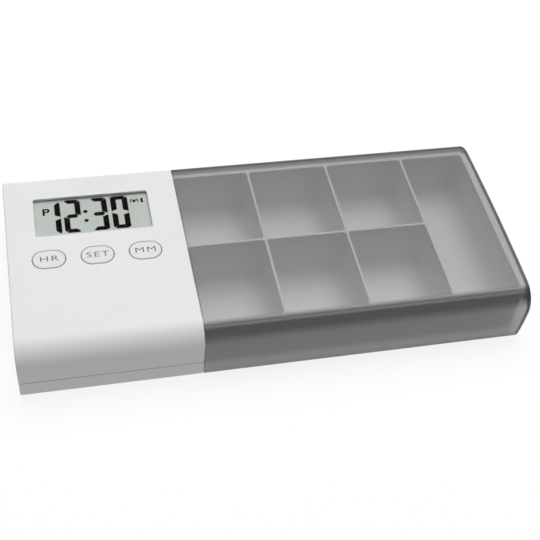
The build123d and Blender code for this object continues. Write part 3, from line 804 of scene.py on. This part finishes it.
def middle_bar():
    """The bar across a digit's middle, pointed at both ends."""
    bar = flat_strip("middle_bar", DIGIT_WIDTH - 1.75 * BAR_UPRIGHT, BAR_LEVEL)
    bpy.ops.mesh.select_all(action="SELECT")
    bpy.ops.mesh.bisect(plane_co=(0, 0, 0), plane_no=(0, 1, 0))
    for side in (1, -1):
        select_points(bar, lambda co: abs(co.y) < mm(SAME_POINT) and co.x * side > 0)
        bpy.ops.transform.translate(value=(side * mm(BAR_LEVEL / 2), 0, 0))
    bpy.ops.object.mode_set(mode="OBJECT")
    thicken(bar)
    return bar


digit_height = DIGIT_TOP - DIGIT_BOTTOM
half_height = digit_height / 2
level_bar = outer_bar(
    "level_bar",
    length=DIGIT_WIDTH - 2 * BAR_GAP,
    thick=BAR_LEVEL,
    inner_cut_start=BAR_LEVEL,
    inner_cut_end=BAR_LEVEL,
    both_corners=True,
)
upright_bar = outer_bar(
    "upright_bar",
    length=half_height - 2 * BAR_GAP,
    thick=BAR_UPRIGHT,
    inner_cut_start=BAR_LEVEL,
    inner_cut_end=BAR_LEVEL / 2,
    both_corners=False,
)
cross_bar = middle_bar()

# where each bar goes in a digit: which bar, its middle from the digit's lower left corner,
# the degrees that it is turned by, and whether it is mirrored first
middle_x = DIGIT_WIDTH / 2
left_x = BAR_UPRIGHT / 2
right_x = DIGIT_WIDTH - BAR_UPRIGHT / 2
upper_y = digit_height - half_height / 2
lower_y = half_height / 2
BAR_PLACES = {
    "top": (level_bar, middle_x, digit_height - BAR_LEVEL / 2, 0, False),
    "middle": (cross_bar, middle_x, half_height, 0, False),
    "bottom": (level_bar, middle_x, BAR_LEVEL / 2, 180, False),
    "upper left": (upright_bar, left_x, upper_y, 90, True),
    "lower left": (upright_bar, left_x, lower_y, 90, False),
    "upper right": (upright_bar, right_x, upper_y, -90, False),
    "lower right": (upright_bar, right_x, lower_y, -90, True),
}


def placed_bar(which, left):
    """A copy of the bar for one place in the digit whose left edge is given."""
    model, x, y, turn, flip = BAR_PLACES[which]
    bar = copy_of(model, "bar")
    only(bar)
    if flip:
        bpy.ops.object.mode_set(mode="EDIT")
        bpy.ops.mesh.select_all(action="SELECT")
        bpy.ops.transform.mirror(constraint_axis=(True, False, False))
        bpy.ops.mesh.normals_make_consistent(inside=False)
        bpy.ops.object.mode_set(mode="OBJECT")
    bar.rotation_euler = (0, 0, math.radians(turn))
    bar.location = (mm(left + x), mm(DIGIT_BOTTOM + y), mm(GLASS_TOP))
    settle(bar)
    return bar


for digit_name, (digit_left, dark_bars) in DIGITS.items():
    on_display(joined([placed_bar(which, digit_left) for which in dark_bars], digit_name))
for model in (level_bar, upright_bar, cross_bar):
    bpy.data.objects.remove(model)


def colon():
    """Two eight-sided dots between the hours and the minutes."""
    clear_selection()
    bpy.ops.mesh.primitive_circle_add(
        vertices=COLON_SIDES, radius=mm(COLON_WIDTH / 2), fill_type="NGON"
    )
    lower_dot = bpy.context.object
    lower_dot.scale = (1.0, COLON_SQUEEZE, 1.0)
    settle(lower_dot)
    thicken(lower_dot)
    dots = [lower_dot, copy_of(lower_dot, "upper_dot")]
    for dot, dot_y in zip(dots, COLON_YS):
        dot.location = (mm(COLON_X), mm(dot_y), mm(GLASS_TOP))
        settle(dot)
    return joined(dots, "display_colon")


def lettering(name, words, height, depth, place, weight=0.0, spacing=1.0, widen=1.0):
    """Plain capitals made a thin solid, with their middle at a place in millimetres.

    weight thickens the strokes, as a share of the letters' size, and widen stretches them.
    """
    clear_selection()
    bpy.ops.object.text_add()
    text = bpy.context.object
    text.data.body = words
    text.data.align_x = "CENTER"
    text.data.align_y = "CENTER"
    text.data.offset = weight
    text.data.space_character = spacing
    text.data.resolution_u = 4
    text.data.size = 1.0
    bpy.ops.object.convert(target="MESH")
    mark = bpy.context.object
    mark.name = name
    mark.data.name = name
    ups = [vertex.co.y for vertex in mark.data.vertices]
    # the letters are one unit in size here, so this merges only points that coincide
    bpy.ops.object.mode_set(mode="EDIT")
    bpy.ops.mesh.select_all(action="SELECT")
    bpy.ops.mesh.remove_doubles(threshold=0.0005)
    bpy.ops.mesh.extrude_region_move(TRANSFORM_OT_translate={"value": (0, 0, 1.0)})
    bpy.ops.mesh.select_all(action="SELECT")
    bpy.ops.mesh.normals_make_consistent(inside=False)
    bpy.ops.object.mode_set(mode="OBJECT")
    grow = mm(height) / (max(ups) - min(ups))
    mark.scale = (grow * widen, grow, mm(depth))
    mark.location = [mm(value) for value in place]
    settle(mark)
    return mark


on_display(colon())
on_display(
    lettering(
        "afternoon_mark",
        "P",
        height=2.9,
        depth=MARK_DEPTH,
        place=(-67.2, 19.1, GLASS_TOP),
        weight=0.02,
        widen=1.2,
    )
)
on_display(
    lettering(
        "alarm_number",
        "1",
        height=1.9,
        depth=MARK_DEPTH,
        place=(-36.4, 20.9, GLASS_TOP),
        weight=0.03,
        widen=1.7,
    )
)


# ------------------------------------------------------------------ printed marks
for cap, (mark_name, words, cap_x) in CAP_MARKS.items():
    printed = lettering(
        mark_name,
        words,
        height=CAP_MARK_HEIGHT,
        depth=2 * INK_PROUD,
        place=(cap_x, CAP_Y, CAP_TOP - INK_PROUD),
        spacing=1.2,
        widen=1.35,
    )
    finished(printed, print_ink, cap)


# ------------------------------------------------------------------ the display's bell
def alarm_bell():
    """A small bell between two sound arcs."""
    middle = (mm(BELL_X), mm(BELL_Y), 0)
    clear_selection()
    bpy.ops.mesh.primitive_circle_add(vertices=24, radius=mm(BELL_R), fill_type="NGON")
    bell = bpy.context.object
    bell.location = middle
    settle(bell)
    only(bell)
    # the lower part flares into the bell's skirt
    bpy.ops.object.mode_set(mode="EDIT")
    select_points(bell, lambda co: co.y < mm(BELL_Y) - mm(BELL_SKIRT_DROP))
    bpy.ops.transform.resize(value=(BELL_SKIRT_FLARE, 1.0, 1.0), center_override=middle)
    bpy.ops.object.mode_set(mode="OBJECT")
    thicken(bell)
    parts = [bell]
    arc_middle = (mm(BELL_X), mm(BELL_Y - ARC_DROP), 0)
    for side in (-1, 1):
        clear_selection()
        bpy.ops.mesh.primitive_circle_add(vertices=32, radius=mm(ARC_R), fill_type="NOTHING")
        arc = bpy.context.object
        arc.location = arc_middle
        settle(arc)
        only(arc)
        bpy.ops.object.mode_set(mode="EDIT")
        select_points(
            arc,
            lambda co: (co.x - arc_middle[0]) * side < mm(ARC_FROM)
            or co.y < mm(BELL_Y - ARC_FROM),
        )
        bpy.ops.mesh.delete(type="VERT")
        bpy.ops.mesh.select_all(action="SELECT")
        bpy.ops.mesh.extrude_edges_move()
        bpy.ops.transform.resize(
            value=(ARC_INNER_SHARE, ARC_INNER_SHARE, 1.0), center_override=arc_middle
        )
        bpy.ops.object.mode_set(mode="OBJECT")
        thicken(arc)
        parts.append(arc)
    whole = joined(parts, "alarm_bell")
    whole.location.z = mm(GLASS_TOP)
    settle(whole)
    return whole


on_display(alarm_bell())


# ------------------------------------------------------------------ camera
# its place in millimetres, and which way its own axes point
CAMERA_PLACE = (-67.004, -216.238, 269.253)
CAMERA_RIGHT = (0.9742, -0.2066, 0.0906)
CAMERA_UP = (0.1008, 0.7578, 0.6447)
CAMERA_BACK = (-0.2018, -0.6190, 0.7591)
# focal length and width of the film, in millimetres
CAMERA_LENS = 70.07
CAMERA_FILM = 36.0

eye = bpy.data.cameras.new("eye")
eye.sensor_width = CAMERA_FILM
eye.lens = CAMERA_LENS
eye.clip_start = 0.01
eye.clip_end = 10.0
camera = bpy.data.objects.new("camera", eye)
bpy.context.collection.objects.link(camera)
aimed = Matrix((CAMERA_RIGHT, CAMERA_UP, CAMERA_BACK)).transposed().to_4x4()
camera.matrix_world = Matrix.Translation([mm(value) for value in CAMERA_PLACE]) @ aimed
bpy.context.scene.camera = camera
bpy.context.scene.view_settings.view_transform = "Standard"


# ------------------------------------------------------------------ floor and light
FLOOR_SIZE = 6.0
# the floor lies a hair under the base, so that the two faces never share a plane
FLOOR_DROP = 0.05
WORLD_LEVEL = 0.22


def straight_look(tree):
    """One for rays from the eye that met only gloss or clear plastic on their way."""
    ray = add(tree, "ShaderNodeLightPath")
    clear_or_gloss = add(
        tree,
        "ShaderNodeMath",
        links={0: ray.outputs["Is Glossy Ray"], 1: ray.outputs["Is Transmission Ray"]},
        operation="MAXIMUM",
    )
    looking = add(
        tree,
        "ShaderNodeMath",
        links={0: clear_or_gloss.outputs[0], 1: ray.outputs["Is Camera Ray"]},
        operation="MAXIMUM",
    )
    not_scattered = add(
        tree,
        "ShaderNodeMath",
        {1: 0.5},
        {0: ray.outputs["Diffuse Depth"]},
        operation="LESS_THAN",
    )
    both = add(
        tree,
        "ShaderNodeMath",
        links={0: looking.outputs[0], 1: not_scattered.outputs[0]},
        operation="MULTIPLY",
    )
    return both.outputs[0]


def glowing_paper(tree, colour, strength):
    """Matt paper that also sends out an even light. Colour is a socket or a hex value."""
    if isinstance(colour, str):
        paper = add(tree, "ShaderNodeBsdfDiffuse", {"Color": linear(colour)})
    else:
        paper = add(tree, "ShaderNodeBsdfDiffuse", links={"Color": colour})
    glow = add(tree, "ShaderNodeEmission", {"Strength": strength})
    both = add(
        tree,
        "ShaderNodeAddShader",
        links={0: paper.outputs["BSDF"], 1: glow.outputs["Emission"]},
    )
    return both.outputs["Shader"]


def floor_finish():
    """Pale paper sweep: white to the eye and in reflections, with the object's shadow."""
    material, tree, out = new_material("pale_paper_sweep")
    grain = add(
        tree,
        "ShaderNodeTexNoise",
        {"Scale": 1 / mm(1.0), "Detail": 3.0},
        {"Vector": add(tree, "ShaderNodeTexCoord").outputs["Object"]},
    )
    tone = add(
        tree,
        "ShaderNodeMix",
        {6: linear("#8a8a8a"), 7: linear("#8e8e8e")},
        {0: grain.outputs["Fac"]},
        data_type="RGBA",
    )
    shown = add(
        tree,
        "ShaderNodeMixShader",
        links={
            0: straight_look(tree),
            # light that a wide paper sweep throws back on the box's sides
            1: glowing_paper(tree, tone.outputs[2], 0.32),
            # the white that the eye meets, a little darker in the box's shade
            2: glowing_paper(tree, "#7c7c7c", 0.84),
        },
    )
    whole = add(
        tree,
        "ShaderNodeMixShader",
        links={
            0: add(tree, "ShaderNodeLightPath").outputs["Is Transmission Ray"],
            1: shown.outputs["Shader"],
            # through clear plastic it is as white in the open and darker under the box
            2: glowing_paper(tree, "#d6d6d6", 0.34),
        },
    )
    # open from below, so that the box's underside shows
    one_sided = add(
        tree,
        "ShaderNodeMixShader",
        links={
            0: add(tree, "ShaderNodeNewGeometry").outputs["Backfacing"],
            1: whole.outputs["Shader"],
            2: add(tree, "ShaderNodeBsdfTransparent").outputs["BSDF"],
        },
    )
    tree.links.new(one_sided.outputs["Shader"], out.inputs["Surface"])
    return material


clear_selection()
bpy.ops.mesh.primitive_plane_add(size=FLOOR_SIZE, location=(0, 0, -mm(FLOOR_DROP)))
floor = bpy.context.object
floor.name = "floor"
floor.data.materials.append(floor_finish())

# an even white studio: bright to the eye, and much dimmer as a light on the box
world = bpy.data.worlds.new("studio")
bpy.context.scene.world = world
world.use_nodes = True
sky = world.node_tree
sky.nodes.clear()
sky_level = add(
    sky,
    "ShaderNodeMapRange",
    {"To Min": WORLD_LEVEL, "To Max": 1.0},
    {"Value": straight_look(sky)},
)
studio_light = add(
    sky,
    "ShaderNodeBackground",
    {"Color": (1.0, 1.0, 1.0, 1.0)},
    {"Strength": sky_level.outputs["Result"]},
)
world_out = add(sky, "ShaderNodeOutputWorld")
sky.links.new(studio_light.outputs["Background"], world_out.inputs["Surface"])


def softbox(name, place, target, size, power):
    """A square area lamp aimed at a point. Lengths are in metres and power in watts."""
    lamp = bpy.data.lights.new(name, "AREA")
    lamp.shape = "SQUARE"
    lamp.size = size
    lamp.energy = power
    holder = bpy.data.objects.new(name, lamp)
    bpy.context.collection.objects.link(holder)
    holder.location = place
    aim = Vector(target) - Vector(place)
    holder.rotation_euler = aim.to_track_quat("-Z", "Y").to_euler()


softbox(
    "overhead_softbox",
    place=(0.1, 0.3, 1.1),
    target=(0.0, 0.0, 0.0),
    size=1.0,
    power=10.2,
)
